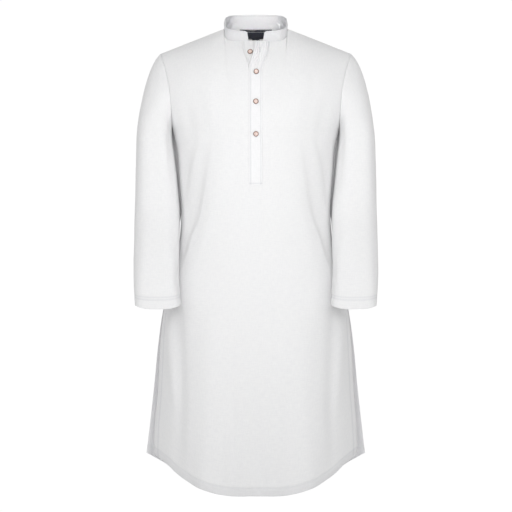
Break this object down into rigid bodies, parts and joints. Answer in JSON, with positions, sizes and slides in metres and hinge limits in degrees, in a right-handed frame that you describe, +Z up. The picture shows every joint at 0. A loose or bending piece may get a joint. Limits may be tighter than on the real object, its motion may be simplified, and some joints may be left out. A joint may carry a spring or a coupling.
{
  "type": "kurta",
  "caption": "Long loose shirt with a band collar, a buttoned half placket, long sleeves, side slits and a curved hem, in its worn shape.",
  "frame": {"origin": "midway between the two shoulder points of the neck, where the wearer carries the garment", "axes": "+Z up along the body, +X towards the wearer's left, +Y towards the back, so the front faces -Y"},
  "size_m": [0.5812, 0.2872, 1.15],
  "materials": {
    "white_cotton": "plain-woven white cotton, matt",
    "white_cotton_double": "plain-woven white cotton, two layers with stiffening, pressed",
    "button_shell": "two-tone brown and pink-beige, polished",
    "dark_tape": "dark woven cotton tape",
    "dark_label": "dark woven satin label, bare"
  },
  "bodies": {
    "root": {"front": "white_cotton", "back": "white_cotton", "sleeve_left": "white_cotton", "sleeve_right": "white_cotton", "collar": "white_cotton_double", "placket_overlap": "white_cotton_double", "placket_underlap": "white_cotton_double", "button_1": "button_shell", "button_2": "button_shell", "button_3": "button_shell", "button_4": "button_shell", "neck_tape": "dark_tape", "neck_label": "dark_label", "size_tab": "dark_label"}
  },
  "joints": []
}
